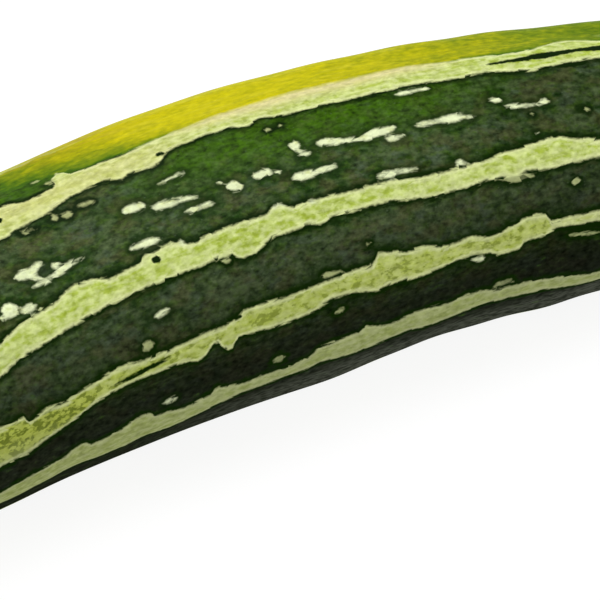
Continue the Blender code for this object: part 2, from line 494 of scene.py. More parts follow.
LOWER_STRIPE = (
    ((0, 2), (50, -12), (73, -7.8), (78, -5.6), (82, -4.2), (86, -2.4), (94, -1.2), (98, -1.2),
     (103, 1), (106, 1.4), (110, 0.3), (122, 0.4), (126, -0.8), (129, -0.2), (133, 2.8), (134.5, 0.4),
     (145, -0.4), (148, -3.6), (152.6, -4.6), (164, -3.8), (168, -2.8), (171.5, -0.8), (173, -3.4),
     (180, -5.6), (184, -3.6), (187.5, -3.4), (188.5, -0.6), (191.5, -0.6), (195, -2.8), (199, -4.2),
     (204.6, -4.8), (205, -1.6), (208, -2.4), (210.5, -5), (215, -6.2), (223, -7.4), (227, -9.2),
     (250, -6), (300, -4)),
    ((0, -12), (50, -20), (73, -14.6), (81, -12), (85.5, -9), (90, -8.2), (97, -7.2), (101.5, -6.8),
     (109, -7.8), (117, -9.8), (121, -8.2), (129, -9.4), (137, -10.6), (145, -8.4), (149, -9.6),
     (164, -9.8), (168, -10.6), (172, -12), (175.5, -14.6), (179, -17), (183, -18.6), (187, -16),
     (190.6, -16), (194, -18.6), (202, -18.2), (206, -16.2), (210, -17.4), (214, -20.4), (218, -20.4),
     (221, -23), (225, -24.4), (250, -16), (300, -12)),
)
shown_stripes = (TOP_STRIPE, UPPER_STRIPE, MIDDLE_STRIPE, LOWER_STRIPE)
print("the stripes have", sum(len(edge) for stripe in shown_stripes for edge in stripe), "corners")

# %% [markdown]
# ## How deep inside a stripe
#
# The skin between two edges is pale. What is stored isn't a colour but how deep inside the stripe a point
# lies, in millimetres, and less than nothing outside. A depth can be roughened, given a bright rim or a
# dark border later, while a painted mask can't.

# %% How deep inside a stripe
MM = 1000
along_mm = along * MM
mm_per_degree = plain_radius * MM * math.pi / 180


def edge_angle(edge):
    """The angle of a stripe's edge beside each point of the skin."""
    places, angles = zip(*edge)
    return np.interp(along_mm, places, angles)


def stripe_depth(upper, lower):
    """How deep inside a stripe each point lies, in millimetres."""
    middle = (upper[0][1] + lower[0][1]) / 2
    angle = middle + degrees_from(degrees, middle)
    return np.minimum(edge_angle(upper) - angle, angle - edge_angle(lower)) * mm_per_degree


pale_depth = np.max([stripe_depth(*stripe) for stripe in shown_stripes], axis=0)
print("pale share of the skin so far:", round(float((pale_depth > 0).mean()), 3))

# %% [markdown]
# ## The stripes round the back
#
# The camera never sees the other six stripes, but the fruit is turned in the hand. They lie on the same
# ridges. Their edges are made by a rule: a corner every few millimetres, and now and then a sudden step,
# as where one strip of skin cells ends and its neighbour goes on. The draw is seeded, so that every run
# makes the same fruit.

# %% The stripes round the back
HIDDEN_STRIPES = ((-45, 4.5), (-82, 5.5), (-118, 4.5), (-155, 5.0), (170, 4.5), (135, 5.0))
CORNER_GAPS = (3, 10)
EDGE_WANDER = 1.1
EDGE_STEP = 2.6
STEP_SHARES = (0.6, 1)
STEP_LENGTH = 0.5
STEP_CHANCE = 0.3
BACK_SEED = 5


def ragged_edge(middle, random):
    """Corners of an edge that wanders about an angle and sometimes steps aside."""
    corners = [(0, middle)]
    place = 0
    while place < FRUIT_LENGTH * MM:
        place += random.uniform(*CORNER_GAPS)
        angle = middle + random.normal() * EDGE_WANDER
        if random.uniform() < STEP_CHANCE:
            corners.append((place, corners[-1][1]))
            angle = middle + random.choice((-1, 1)) * EDGE_STEP * random.uniform(*STEP_SHARES)
            place += STEP_LENGTH
        corners.append((place, angle))
    return tuple(corners)


random = np.random.default_rng(BACK_SEED)
for middle, half_width in HIDDEN_STRIPES:
    stripe = (ragged_edge(middle + half_width, random), ragged_edge(middle - half_width, random))
    pale_depth = np.maximum(pale_depth, stripe_depth(*stripe))
print("pale share with the back stripes:", round(float((pale_depth > 0).mean()), 3))

# %% [markdown]
# ## The flecks
#
# Between the stripes lie short pale dashes, dots and blots, all drawn out along the fruit. Each is one
# stroke: where it starts, where it ends and how wide it is. Strokes that touch make the branched ones.
# Like the corners of the stripes, those that the camera sees were listed from the photograph and carried
# onto the skin.

# %% The flecks
FLECKS = (  # millimetres along and degrees round, at both ends, and the width in millimetres
    (208.6, 71, 203.4, 71.2, 2.2), (204.6, 71.4, 201.6, 73.2, 1.3), (205.4, 69.6, 203, 66.8, 1.3),
    (206.6, 65.2, 200, 66.4, 1.1), (202, 66.2, 192.4, 69, 1.1), (200, 71.2, 198.4, 68.4, 2),
    (214.6, 62.2, 211.6, 59.2, 3.4), (216.2, 58.4, 214.6, 59.2, 1.1), (210.8, 58.2, 207, 58.8, 1.6),
    (170.2, 84, 167.2, 84.4, 0.9), (167.8, 84.2, 163, 85, 0.9), (180, 79.4, 174.8, 78.6, 2.5),
    (173.6, 75.8, 167, 74.6, 2), (169, 75.2, 162.6, 73.8, 1.3), (167.6, 69.8, 162.2, 69.4, 1),
    (163.8, 69.8, 160.2, 69.2, 1.3), (157.6, 76.4, 156.6, 76, 0.9), (156, 73.6, 152.6, 72.2, 2.7),
    (182.4, 64.2, 175.2, 64.2, 1.5), (149.6, 74.2, 145, 73.8, 1.9), (144, 72.4, 142.8, 71.8, 1),
    (138.4, 81.6, 136.2, 80.4, 2.2), (137.6, 77, 134.8, 76.2, 1.1), (141.4, 68.6, 135, 67.8, 1.9),
    (136, 68.4, 130, 68.2, 1.5), (132.6, 79.4, 126.8, 77.4, 2), (127.8, 77.4, 121, 75.8, 1.1),
    (122, 76.4, 113.8, 77.6, 2.1), (116.8, 73, 112.4, 73.2, 1.3), (109.2, 76.4, 103.2, 75.8, 1.2),
    (104, 76, 96.4, 75.8, 1.8), (98.4, 77.2, 96.8, 77.4, 0.9), (97.8, 75.2, 94.4, 74.6, 0.9),
    (110.4, 91.2, 102.2, 91, 1), (90.2, 81.6, 87.2, 79.4, 1.1), (87, 76.2, 78.2, 74.6, 1.1),
    (78.2, 75.6, 76.2, 75.4, 1.3), (82.4, 62.4, 81.4, 62.4, 1.1), (103.4, 57, 101, 56.8, 1.2),
    (122.8, 60, 117.4, 59.2, 1.1), (118.4, 59.6, 112, 58.8, 0.9), (182.6, 37.6, 178.6, 38.8, 1.2),
    (185, 0.8, 181.4, 1.4, 1.1), (104.8, 18.4, 101.4, 17.6, 0.9),
    (172, 59.4, 170.2, 59.4, 1.6), (148.8, 60, 145.6, 59.4, 1.8), (139.8, 58.2, 138.4, 58.2, 0.9),
)
FAINT_FLECKS = (
    (93, 46.4, 85.6, 46, 0.9), (141.6, 91.2, 140.6, 90.6, 1.3), (138.8, 91, 137.8, 90.6, 0.9),
    (76.2, 39.6, 74.6, 39.4, 1.3), (140.4, 13.6, 138, 15.2, 1.1), (187.6, 28.2, 184.8, 29.4, 1.6),
    (156.8, 0.4, 153.6, 1.4, 1.8), (129.8, 36.2, 128.4, 36.8, 1.1), (142, 30.4, 137, 29.8, 1.1),
    (98.8, 1.4, 94, 2, 1.3), (79.2, 17.6, 71.4, 15, 0.9), (68.4, 68.8, 67.8, 68.6, 0.8),
    (163.4, 47.8, 161.8, 47.6, 1.1), (193.6, 112, 191.4, 110.8, 1.5), (191.6, 106, 189.4, 105.2, 1.6),
    (202, 87.2, 198.8, 87, 1), (194.6, 87.8, 193, 88.4, 1.6), (192, 87.2, 189.8, 87.2, 1.4),
    (188.4, 88.4, 184.4, 87.8, 1.1), (81.8, 71, 81, 70.8, 0.8),
)
print(len(FLECKS) + len(FAINT_FLECKS), "flecks placed after the photograph")

# %% [markdown]
# ## The shape of a fleck
#
# A fleck is round at its ends and widest in its middle. The power of its taper says how blunt it is: 2
# makes an ellipse, and more makes a rounded bar. Like a stripe, it is kept as a depth. Only the skin near
# a fleck is worked on, because there are hundreds of flecks.

# %% The shape of a fleck
FLECK_REACH = 4
TAPER_POWER = 2.2
TINY = 1e-9  # keeps the length of a dot above nothing


def fleck_depth(start_mm, start_angle, end_mm, end_angle, width):
    """How deep inside a stroke with tapering ends each point lies, in millimetres."""
    depth = np.full(len(along_mm), -float(FLECK_REACH))
    low, high = sorted((start_mm, end_mm))
    near = (along_mm > low - FLECK_REACH) & (along_mm < high + FLECK_REACH)
    scale = mm_per_degree[near]
    x = along_mm[near] - start_mm
    y = degrees_from(degrees[near], start_angle) * scale
    stroke_x = end_mm - start_mm
    stroke_y = degrees_from(end_angle, start_angle) * scale
    length = np.hypot(stroke_x, stroke_y) + TINY
    lengthwise = np.abs((x * stroke_x + y * stroke_y) / length - length / 2)
    sidewise = (y * stroke_x - x * stroke_y) / length
    half = np.maximum(length, width) / 2
    taper = (1 - np.minimum(lengthwise / half, 1) ** TAPER_POWER) ** (1 / TAPER_POWER)
    depth[near] = width / 2 * taper - np.hypot(sidewise, np.maximum(lengthwise - half, 0))
    return depth


def deepest(strokes):
    """How deep inside the nearest of some strokes each point lies."""
    return np.max([fleck_depth(*stroke) for stroke in strokes], axis=0)


fleck_field = deepest(FLECKS)
faint_field = deepest(FAINT_FLECKS)
print("pale share of the placed flecks:", round(float((fleck_field > 0).mean()), 4))

# %% [markdown]
# ## More flecks, by rule
#
# The rest of the skin gets flecks of the same kind, by a seeded draw. They come in loose rows, because a
# row grows from one strip of cells. The stretch that the photograph shows is passed over. Flecks are
# milkier than stripes, and some that the photograph shows are faint, so both facts are stored beside the
# depth.

# %% More flecks, by rule
BANDS = ((76, 10), (37, 6), (7, 3), (-27, 5), (-63, 9), (-100, 9), (-136, 9), (-172, 8), (152, 8), (118, 7))
SHOWN_STRETCH = (62, 232)
SHOWN_ANGLES = (-48, 138)
ROWS_PER_BAND = 3
ROW_STARTS = (6, 40)
ROW_END_GAP = 4
ROW_GAPS = (2, 20)
GAP_SHARES = (0.3, 2)
ROW_DRIFT = 1.5
DASH_LENGTHS = (1, 9)
DASH_WIDTHS = (1.0, 2.4)
DASH_DRIFT = 0.7
FLECK_SEED = 23
FAINTNESS = 0.4
SAME_DEPTH = 0.01


def fleck_row(middle, spread, random):
    """A broken row of dashes along the fruit, at about one angle."""
    row = []
    angle = middle + random.uniform(-spread, spread)
    place = random.uniform(*ROW_STARTS)
    while place < SCAR_ALONG * MM - ROW_END_GAP:
        length = random.uniform(*DASH_LENGTHS)
        drift = random.uniform(-DASH_DRIFT, DASH_DRIFT)
        in_stretch = SHOWN_STRETCH[0] - length < place < SHOWN_STRETCH[1]
        in_sight = SHOWN_ANGLES[0] < angle < SHOWN_ANGLES[1]
        if not (in_stretch and in_sight):
            row.append((place, angle, place + length, angle + drift, random.uniform(*DASH_WIDTHS)))
        angle += random.uniform(-ROW_DRIFT, ROW_DRIFT)
        place += length + random.uniform(*ROW_GAPS) * random.uniform(*GAP_SHARES)
    return row


random = np.random.default_rng(FLECK_SEED)
for middle, spread in BANDS:
    for _ in range(ROWS_PER_BAND):
        for fleck in fleck_row(middle, spread, random):
            fleck_field = np.maximum(fleck_field, fleck_depth(*fleck))
pale_depth = np.maximum(pale_depth, fleck_field)
paleness = np.where(faint_field > pale_depth, 1 - FAINTNESS, 1.0)
pale_depth = np.maximum(pale_depth, faint_field)
store(fruit.data, "pale_depth", pale_depth)
store(fruit.data, "paleness", paleness)
store(fruit.data, "milky", (fleck_field >= pale_depth - SAME_DEPTH).astype(float))
print("pale share with all the flecks:", round(float((pale_depth > 0).mean()), 3))

# %% [markdown]
# ## Slits and a blot
#
# Dark slits split some stripes lengthwise, in short overlapping strokes, and one dark blot lies between
# two stripes. They have the shape of flecks and are kept in fields of their own, because the slits are cut
# out of the pale skin, and the blot lies under it.

# %% Slits and a blot
SLITS = (
    (197, 19.2, 181, 22, 1.2), (101, 27.4, 97, 27.6, 1.2), (83, 22.2, 71, 18.8, 1.1),
    (165, 26.8, 163, 26.8, 1.3), (178.2, 57.3, 177.6, 57.3, 1.9), (167, 96, 165, 95.8, 1.3),
    (87, 97.7, 78, 98, 1), (81.4, 97.8, 74, 98.2, 1.5), (77, 98.4, 68.6, 98.6, 2.2),
    (71, 98.8, 64.4, 99.2, 1.6), (66, 99.3, 58, 99.5, 1.4), (63, 99.2, 50, 99.4, 2.2),
    (71.8, 91.3, 63.8, 91.1, 1.2), (206, 96.6, 203.8, 96.4, 2),
)
BLOT = (71, 69.8, 67.2, 69.2, 3)

store(fruit.data, "slit_depth", deepest(SLITS))
store(fruit.data, "blot_depth", deepest([BLOT]))
print(len(SLITS), "slits")

# %% [markdown]
# ## The place of the yellow ground spot
#
# Above the top stripe lies the side that the fruit rested on as it grew, and there it is yellow. A share
# for it is multiplied up from ramps along the fruit and round it. Its far end is skewed: away from the
# stripe the yellow goes on for longer. Where the photograph doesn't show it, slow patches make it uneven
# and it turns creamy. The yellow hides the pale marks in it, more so in sight than behind, and the field
# `bleached` says where and how much.

# %% The place of the yellow ground spot
SPOT_FROM = (-30, 160)
SPOT_TO = (154, 222)
SPOT_EDGE = 104.5  # degrees round, at the top stripe's upper edge
SPOT_SIDE = (-5, 3)  # from here on, degrees above that edge
SPOT_FAR_SIDE = (72, 104)
SPOT_END_SKEW = 1.1  # millimetres for each degree
SPOT_END_ANGLE = 13
HIDDEN_FROM = (26, 46)
PATCH_SIZE = 0.034
PATCH_SHARE = 0.22
PATCH_SEED = 3
BLEACHED_FROM = (20, 60)
BLEACHED_SIDE = (3, 8)
BLEACHING = 0.95
LESS_BEHIND = 0.2

above_stripe = degrees_from(degrees, SPOT_EDGE)
skewed = along_mm + (SPOT_END_ANGLE - np.clip(above_stripe, 0, 3 * SPOT_END_ANGLE)) * SPOT_END_SKEW
spot_end = 1 - rising(skewed, *SPOT_TO)
lengthwise = rising(along_mm, *SPOT_FROM) * spot_end
beyond_side = 1 - rising(above_stripe, *SPOT_FAR_SIDE)
hidden_part = rising(above_stripe, *HIDDEN_FROM)
random = np.random.default_rng(PATCH_SEED)
patches = PATCH_SHARE * hidden_part * even_lumps(straight, PATCH_SIZE, LUMP_WAVES, random)
ground_spot = lengthwise * rising(above_stripe, *SPOT_SIDE) * beyond_side * (1 + patches)
bleached = rising(along_mm, *BLEACHED_FROM) * spot_end * rising(above_stripe, *BLEACHED_SIDE) * beyond_side
store(fruit.data, "ground_spot", ground_spot)
store(fruit.data, "creamy", ground_spot * hidden_part)
store(fruit.data, "bleached", bleached * (BLEACHING - LESS_BEHIND * hidden_part))
print("the spot covers", round(float((ground_spot > 0.5).mean()), 3), "of the skin")

# %% [markdown]
# ## Russet, painted outline shade, beige, olive and lush green
#
# Four more colours keep to places of their own. Russet, a rough brown, lies in a patch in the yellow. The
# same brown also runs in a thin band along the yellow, which is painted shade on the fruit's top outline.
# The top stripe's upper edge is beige and blurred where it meets the yellow, and further on the whole
# stripe is a little creamy. The middle stripe is clouded with olive towards the blossom end. The dark skin
# below the top stripe is a lusher green, and so is the end of the yellow. Each place is a hill round the
# fruit, given by its middle and its spread in degrees, times a ramp or a plateau along it, given in
# millimetres.

# %% Russet, painted outline shade, beige, olive and lush green
RUSSET_PATCH_ALONG = (181, 14)
RUSSET_PATCH_ROUND = (130, 7)
OUTLINE_SHADE_BAND = (139, 3.5)
BEIGE_ABOVE_STRIPE = (1, 4.5)
BEIGE_FROM = (84, 108)
BEIGE_TO = (148, 175)
CREAMY_ABOVE_STRIPE = (-6, 8)
CREAMY_SHARE = 0.45
OLIVE_END = (15, 16)
OLIVE_END_FROM = (186, 206)
OLIVE_BITS = (24, 9)
OLIVE_BITS_SHARE = 0.5
LUSH_BAND = (88, 11)
LUSH_BAND_LENGTH = ((70, 115), (145, 195))
LUSH_ABOVE_STRIPE = (4, 7)
LUSH_END_LENGTH = ((165, 185), (200, 235))


def hill_round(middle, spread):
    """A hill at that angle round the fruit."""
    return hill(degrees_from(degrees, middle), 0, spread)


russet_patch = hill(along_mm, *RUSSET_PATCH_ALONG) * hill_round(*RUSSET_PATCH_ROUND)
# real russet in one patch, and painted shade in a thin band along the top outline
store(fruit.data, "russet", np.maximum(russet_patch, hill_round(*OUTLINE_SHADE_BAND) * lengthwise))

beige_edge = hill(above_stripe, *BEIGE_ABOVE_STRIPE) * plateau(along_mm, BEIGE_FROM, BEIGE_TO)
creamy_length = CREAMY_SHARE * hill(above_stripe, *CREAMY_ABOVE_STRIPE) * rising(along_mm, *BEIGE_TO)
store(fruit.data, "cream", np.maximum(beige_edge, creamy_length))
store(fruit.data, "blurred", beige_edge)

olive_end = hill_round(*OLIVE_END) * rising(along_mm, *OLIVE_END_FROM)
store(fruit.data, "olive", np.maximum(olive_end, hill_round(*OLIVE_BITS) * OLIVE_BITS_SHARE))

lush_band = hill_round(*LUSH_BAND) * plateau(along_mm, *LUSH_BAND_LENGTH)
lush_end = hill(above_stripe, *LUSH_ABOVE_STRIPE) * plateau(along_mm, *LUSH_END_LENGTH)
store(fruit.data, "lush", np.maximum(lush_band, lush_end))
print("beige covers", round(float((beige_edge > 0.5).mean()), 3), "of the skin")

# %% [markdown]
# ## Painted light and shade round the fruit
#
# The photograph's fruit is lightest on top, and darkest and greyest low on the flank that faces the camera.
# The soft studio light gives only part of that, so the rest is painted into the skin as light and shade.
# Each list has stops of an angle and a share, with straight lines between them: how bright the pale and
# the dark skin are, which is painted light on top and painted shade low down; how much painted grey shade
# and painted reflection of the white floor lie over them; and how much wax shines. The dark skin is also
# a little duskier in one stretch.

# %% Painted light and shade round the fruit
PALE_PAINTED_SHADING = (
    (-180, 0.85), (-120, 0.64), (-45, 0.50), (-8, 0.50), (22, 0.78), (52, 0.96), (90, 1.0), (180, 1.0),
)
DARK_PAINTED_SHADING = (
    (-180, 0.8), (-120, 0.45), (-45, 0.22), (7, 0.22), (20, 0.4),
    (36, 0.72), (44, 0.95), (64, 1.1), (120, 1.1), (180, 0.9),
)
SHADE_ANGLES = (
    (-180, 0.1), (-120, 0.6), (-45, 1), (0, 1), (16, 0.2), (34, 0.35), (44, 0.3), (52, 0), (180, 0),
)
WAX_ANGLES = ((-180, 1), (-130, 0.6), (-80, 0), (20, 0), (70, 0.12), (138, 0.12), (158, 1), (180, 1))
# painted reflection of the white floor, low on the flank
FLOOR_REFLECTION_ANGLES = ((-180, 0), (-90, 0), (-60, 0.7), (-24, 1), (-12, 0.15), (0, 0), (180, 0))
FLOOR_REFLECTION_LENGTH = ((0, 60), (138, 196))
DUSK = 0.24
DUSK_LENGTH = (76, 26)


def share_round(stops):
    """A share that follows stops of an angle and a value."""
    return np.interp(degrees, *zip(*stops))


# painted light and shade: both skins are lighter on top and darker low on the flank and underneath
dark_tone = share_round(DARK_PAINTED_SHADING) * (1 - DUSK * hill(along_mm, *DUSK_LENGTH))
store(fruit.data, "pale_tone", share_round(PALE_PAINTED_SHADING))
store(fruit.data, "dark_tone", dark_tone)
store(fruit.data, "shade", share_round(SHADE_ANGLES))
store(fruit.data, "wax", share_round(WAX_ANGLES))
store(fruit.data, "bloom", share_round(FLOOR_REFLECTION_ANGLES) * plateau(along_mm, *FLOOR_REFLECTION_LENGTH))
print("the dark skin's darkest tone is", round(float(dark_tone.min()), 2))

# %% [markdown]
# ## Sums on sockets
#
# A skin like this needs many small sums. Written as nodes one by one they would be unreadable, so a small
# class wraps a socket, and Python's own signs add the Math nodes. The reflected forms, such as the one for
# `1 - mask`, are there for sums that start with a plain number.

# %% Sums on sockets
class Wire:
    """A node's output. A sum written with wires adds the Math nodes for it."""

    def __init__(self, shading, socket):
        self.shading = shading
        self.socket = socket

    def math(self, operation, left, right):
        return self.shading.node("ShaderNodeMath", {"operation": operation}, {0: left, 1: right})

    def __add__(self, other):
        return self.math("ADD", self, other)

    def __radd__(self, other):
        return self.math("ADD", other, self)

    def __sub__(self, other):
        return self.math("SUBTRACT", self, other)

    def __rsub__(self, other):
        return self.math("SUBTRACT", other, self)

    def __mul__(self, other):
        return self.math("MULTIPLY", self, other)

    def __rmul__(self, other):
        return self.math("MULTIPLY", other, self)

    def between(self, low, high):
        """0 below low, 1 above high and an even S between."""
        sockets = {"Value": self, "From Min": low, "From Max": high}
        return self.shading.node("ShaderNodeMapRange", {"interpolation_type": "SMOOTHSTEP"}, sockets)


print("sums on sockets work for +, - and *")

# %% [markdown]
# ## One method for every node
#
# Every other node comes from one method, `node`, which takes its type, its settings and what goes into its
# sockets. The methods below it are the few patterns that this object needs: noise that is stretched along
# the fruit, three such noises from one node, blocks like strips of cells, and mixing.

# %% One method for every node
class Shading:
    """The nodes of one material."""

    def __init__(self, name):
        self.material = bpy.data.materials.new(name)
        self.material.use_nodes = True
        self.nodes = self.material.node_tree.nodes
        self.nodes.clear()

    def node(self, kind, settings, sockets, output=0):
        """Adds a node, sets it up, fills its sockets and gives one of its outputs."""
        made = self.nodes.new(kind)
        for name, setting in settings.items():
            if name == "stops":
                self.set_stops(made.color_ramp, setting)
            else:
                setattr(made, name, setting)
        for socket, value in sockets.items():
            if isinstance(value, Wire):
                self.material.node_tree.links.new(value.socket, made.inputs[socket])
            else:
                made.inputs[socket].default_value = value
        return Wire(self, made.outputs[output])

    def set_stops(self, ramp, stops):
        """Gives a ramp its stops, as (place, colour) pairs."""
        while len(ramp.elements) < len(stops):
            ramp.elements.new(1)
        for element, (place, color) in zip(ramp.elements, stops):
            element.position = place
            element.color = (*color, 1)

    def number(self, name):
        """A number stored on the mesh."""
        return self.node("ShaderNodeAttribute", {"attribute_name": name}, {}, "Fac")

    def place(self):
        """The place of each point before the piece was bent."""
        return self.node("ShaderNodeAttribute", {"attribute_name": "unbent"}, {}, "Vector")

    def stretched(self, place, length, width):
        """Coordinates in which a block of that length and width is one unit."""
        sizes = (1 / length, 1 / width, 1 / width)
        return self.node("ShaderNodeVectorMath", {"operation": "MULTIPLY"}, {0: place, 1: sizes})

    def noise(self, place, length, width, detail=2, output="Fac"):
        """Soft noise with blotches of that length and width."""
        sockets = {"Vector": self.stretched(place, length, width), "Scale": 1, "Detail": detail}
        return self.node("ShaderNodeTexNoise", {}, sockets, output)

    def three_noises(self, place, length, width, detail):
        """Three noises of one size, which have nothing else in common."""
        color = self.noise(place, length, width, detail, "Color")
        parts = self.node("ShaderNodeSeparateColor", {}, {0: color})
        return [Wire(self, part) for part in parts.socket.node.outputs]

    def blocks(self, place, length, width, output="Color"):
        """Cells of that length and width, each with a number of its own."""
        sockets = {"Vector": self.stretched(place, length, width), "Scale": 1}
        return self.node("ShaderNodeTexVoronoi", {"feature": "F1"}, sockets, output)

    def mix(self, share, first, second):
        """A colour between two."""
        colors = [color if isinstance(color, Wire) else (*color, 1) for color in (first, second)]
        settings = {"data_type": "RGBA", "clamp_factor": True}
        return self.node("ShaderNodeMix", settings, {0: share, 6: colors[0], 7: colors[1]}, 2)

    def brightened(self, color, share):
        """A colour times a number."""
        return self.node("ShaderNodeVectorMath", {"operation": "SCALE"}, {0: color, "Scale": share})

    def bump(self, height, strength, distance):
        """The surface's direction, tilted by a pattern of heights."""
        sockets = {"Strength": strength, "Distance": distance, "Height": height}
        return self.node("ShaderNodeBump", {}, sockets)

    def finish(self, color, roughness, normal, **constants):
        """The Principled shader and the output."""
        sockets = {"Base Color": color, "Roughness": roughness, "Normal": normal, **constants}
        surface = self.node("ShaderNodeBsdfPrincipled", {}, sockets)
        output = self.nodes.new("ShaderNodeOutputMaterial")
        self.material.node_tree.links.new(surface.socket, output.inputs["Surface"])
        return self.material


print("helpers for materials are ready")

# %% [markdown]
# ## The dark skin
#
# Dark zucchini skin isn't one green. Grey-green, deep green and a little brown lie in soft blotches a few
# millimetres long, and fine pale pores are sprinkled over them. It is greyer in the middle of a band and
# deeper beside the stripes. A noise keeps mostly between 0.3 and 0.7, so `between(0.5, 0.62)` takes the
# upper half of it and leaves soft-edged blotches. What it is multiplied by is the share that the new
# colour gets there.

# %% The dark skin
DEEP_GREEN = (0.012, 0.040, 0.003)
GREY_GREEN = (0.061, 0.089, 0.034)
BLUE_GREY = (0.044, 0.066, 0.052)
BROWN_GREEN = (0.066, 0.070, 0.022)
MOSS_GREEN = (0.040, 0.082, 0.006)
LUSH_GREEN = (0.037, 0.098, 0.002)
SHADE_GREY = (0.058, 0.064, 0.046)
FLOOR_REFLECTION = (0.060, 0.066, 0.050)
PORE = (0.16, 0.21, 0.13)
BLOTCH_SIZE = (0.0062, 0.0042)
MOTTLE_SIZE = (0.0021, 0.0014)
GRAIN_SIZE = (0.0010, 0.0007)
PORE_SPACING = (0.0013, 0.0010)
HEART_DEPTHS = (0.5, 5)  # millimetres from the nearest stripe to the middle of a band
BLUE_SHARE = 0.45
BROWN_SHARE = 0.55
MOSS_SHARE = 0.5
SHADE_GREY_SHARE = 0.6
PORE_SHARE = 0.25

skin = Shading("striped_skin")
place = skin.place()
blotches, bluing, browning = skin.three_noises(place, *BLOTCH_SIZE, 3)
mottling, mossing, clouds = skin.three_noises(place, *MOTTLE_SIZE, 3)
grain, fray, frost = skin.three_noises(place, *GRAIN_SIZE, 2)
depth = skin.number("pale_depth")
shade = skin.number("shade")
dark_tone = skin.number("dark_tone")
band_heart = (0 - depth).between(*HEART_DEPTHS)
greyness = band_heart * 0.5 + (blotches - 0.5) * 2.0 + (mottling - 0.5) * 1.8 + 0.25
dark_skin = skin.mix(greyness, DEEP_GREEN, GREY_GREEN)
dark_skin = skin.mix(bluing.between(0.50, 0.62) * greyness * BLUE_SHARE, dark_skin, BLUE_GREY)
dark_skin = skin.mix(browning.between(0.48, 0.62) * BROWN_SHARE, dark_skin, BROWN_GREEN)
dark_skin = skin.mix(mossing.between(0.50, 0.64) * MOSS_SHARE, dark_skin, MOSS_GREEN)
dark_skin = skin.mix(skin.number("lush") * (mossing * 1.6 + 0.1), dark_skin, LUSH_GREEN)
# painted shade: the dark skin is greyed low on the flank
dark_skin = skin.mix(shade * SHADE_GREY_SHARE, dark_skin, SHADE_GREY)
# painted light and shade: the dark skin is brightened on top and darkened low on the flank
dark_skin = skin.brightened(dark_skin, (mottling * 2.0 + grain * 1.4 - 0.7) * dark_tone)
pores = skin.blocks(place, *PORE_SPACING, "Distance")
in_pore = (1 - pores.between(0.10, 0.26)) * frost.between(0.45, 0.7)
dark_skin = skin.mix(in_pore * PORE_SHARE * dark_tone, dark_skin, PORE)
# painted reflection: a dull grey over the dark skin low on the flank, where the white floor would be
# reflected
reflection_clouds = (clouds + mottling).between(0.75, 1.25)
dark_skin = skin.mix(skin.number("bloom") * (0.2 + reflection_clouds * 0.9), dark_skin, FLOOR_REFLECTION)
print("the dark skin has", len(skin.nodes), "nodes")

# %% [markdown]
# ## The colours of the yellow ground spot
#
# Where the fruit lay on the soil the green never formed. From the dark skin inwards the colour goes
# through lush green and olive to a clear yellow, and the blotches of the skin break up that change.

# %% The colours of the yellow ground spot
SPOT_STOPS = (
    (0.00, (0.022, 0.060, 0.005)),
    (0.30, (0.060, 0.150, 0.003)),
    (0.55, (0.200, 0.270, 0.003)),
    (0.80, (0.440, 0.430, 0.001)),
    (1.00, (0.560, 0.510, 0.001)),
)
SPOT_CREAM = (0.66, 0.61, 0.14)
RUSSET_AND_OUTLINE_SHADE = (0.34, 0.22, 0.02)
STREAK_SIZE = (0.0110, 0.0011)
RUSSET_AND_SHADE_SHARE = 0.6

spot = skin.number("ground_spot") + (blotches - 0.5) * 0.4 + (mottling - 0.5) * 0.4
spot_color = skin.node("ShaderNodeValToRGB", {"stops": SPOT_STOPS}, {0: spot})
streaks = skin.noise(place, *STREAK_SIZE, 2)
creaminess = streaks.between(0.48, 0.68) * 0.08 + skin.number("creamy") * (0.2 + clouds * 0.6)
spot_color = skin.mix(spot.between(0.6, 1.0) * creaminess, spot_color, SPOT_CREAM)
spot_color = skin.brightened(spot_color, 0.62 + mottling * 0.5 + grain * 0.3)
ground = skin.mix(spot.between(0.05, 0.35), dark_skin, spot_color)
# russet, and painted shade along the top outline
ground = skin.mix(skin.number("russet") * streaks.between(0.30, 0.65) * RUSSET_AND_SHADE_SHARE, ground, RUSSET_AND_OUTLINE_SHADE)
print("the ground spot is mixed in")

# %% [markdown]
# ## The pale stripes
#
# The stored depth is smooth, but a real stripe ends in small square steps, one strip of cells at a time.
# So each block of skin, about three millimetres by one, gets its own small offset before the depth is cut
# off at nothing. A stripe's edge is sharp, a fleck's a little softer, and the beige edge is blurred.

# %% The pale stripes
BLOCK_SIZE = (0.0028, 0.0012)
BLOCK_OFFSET = 0.8
FRAY = 0.7
FLECK_CALM = 0.1
EDGE_FROM = -0.40
EDGE_TO = 0.36
FLECK_SOFTNESS = 0.15
BLUR = 0.9

blocks = skin.blocks(place, *BLOCK_SIZE)
milky = skin.number("milky")
blur = skin.number("blurred") * BLUR
raggedness = (blocks - 0.5) * BLOCK_OFFSET + (fray - 0.5) * FRAY
edge = depth + raggedness * (1 - milky * FLECK_CALM)
inside = edge.between(EDGE_FROM - blur, EDGE_TO + milky * FLECK_SOFTNESS + blur)
pale_share = inside * skin.number("paleness") * (1 - skin.number("bleached"))
print("the stripes are cut")

# %% [markdown]
# ## The colours of the pale skin
#
# Just inside its edge a stripe is palest, and further in it is yellow-green, with lighter streaks and with
# blots of olive. The flecks are milkier than the stripes. Low on the flank everything pale is greyed:
# painted shade.

# %% The colours of the pale skin
RIM = (0.74, 0.80, 0.38)
LIGHT = (0.64, 0.73, 0.27)
PALE = (0.40, 0.51, 0.06)
YELLOW_GREEN = (0.44, 0.51, 0.03)
OLIVE = (0.15, 0.20, 0.002)
CREAM = (0.76, 0.67, 0.33)
SHADED_PALE = (0.56, 0.60, 0.32)
MILKY = (0.82, 0.90, 0.54)
RIM_DEPTHS = (0.4, 1.2)
STREAK_SHARE = 0.35
YELLOW_SHARE = 0.8
RIM_SHARE = 0.8
CREAM_SHARE = 0.85
SHADED_PALE_SHARE = 0.4

